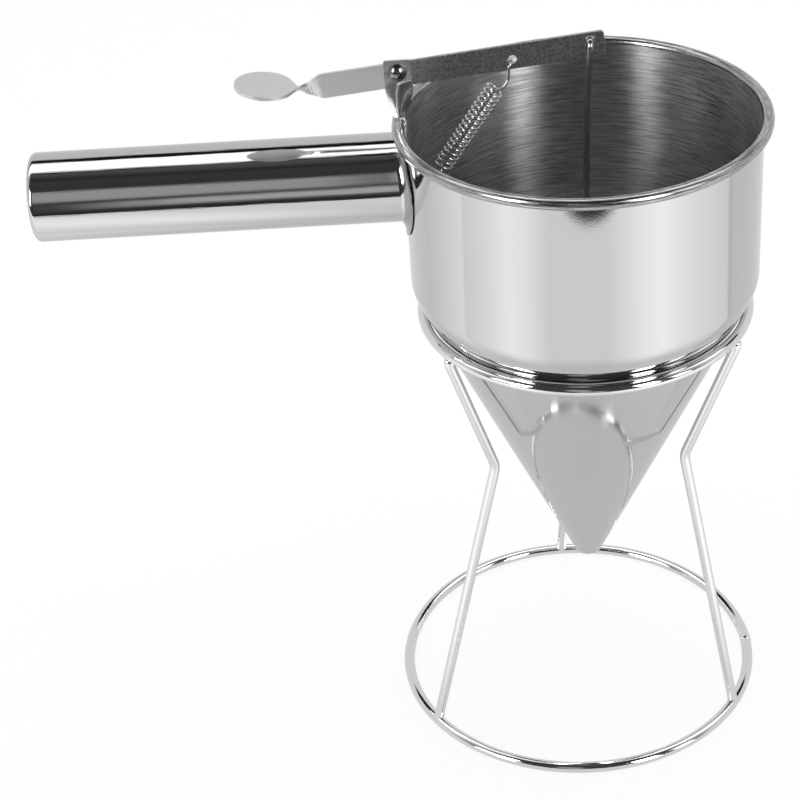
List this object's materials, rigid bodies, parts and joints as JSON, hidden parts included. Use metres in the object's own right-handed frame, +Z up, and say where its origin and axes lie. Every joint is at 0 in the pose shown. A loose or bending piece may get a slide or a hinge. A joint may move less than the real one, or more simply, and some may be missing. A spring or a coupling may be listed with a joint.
{
  "type": "dispensing funnel on stand",
  "caption": "Hand-held batter dispensing funnel with tube handle and spring lever valve, resting in its bent wire stand.",
  "frame": {"origin": "on the floor, under the middle of the overall length and width", "axes": "+Z up along the funnel's axis, -X along the handle, +Y to the rear"},
  "size_m": [0.2495, 0.136, 0.2631],
  "materials": {
    "mirror_steel": "mirror polished stainless sheet",
    "satin_steel": "satin stainless steel",
    "raw_steel": "dull rolled steel strip",
    "bright_wire": "bright drawn wire",
    "spring_wire": "bright spring wire"
  },
  "bodies": {
    "stand": {"stand_top_ring": "bright_wire", "stand_base_ring": "bright_wire", "rear_leg": "bright_wire", "front_left_leg": "bright_wire", "front_right_leg": "bright_wire"},
    "funnel": {"hopper_cup": "mirror_steel", "hopper_cone": "mirror_steel", "handle_collar": "mirror_steel", "handle_tube": "mirror_steel", "handle_end_cap": "mirror_steel", "lever_bracket": "satin_steel", "pivot_rivet": "satin_steel", "spring_lug": "satin_steel", "return_spring": "spring_wire"},
    "lever": {"thumb_lever": "raw_steel"},
    "valve": {"valve_rod": "bright_wire", "valve_plug": "satin_steel"}
  },
  "joints": [
    {"name": "funnel_lift", "type": "slide", "parent": "stand", "child": "funnel", "axis": [0, 0, 1], "range_m": [0, 0.2]},
    {"name": "lever_pivot", "type": "hinge", "parent": "funnel", "child": "lever", "pos_m": [0.00115, 0, 0.2532], "axis": [0, -1, 0], "range_deg": [0, 15], "stiffness_Nm_per_rad": 0.5, "deforming": ["return_spring"]},
    {"name": "rod_hang", "type": "hinge", "parent": "lever", "child": "valve", "pos_m": [0.06445, 0, 0.26005], "axis": [0, -1, 0], "range_deg": [-15, 0]}
  ],
  "couplings": [
    {"joint": "rod_hang", "follows": "lever_pivot", "ratio": -1}
  ]
}
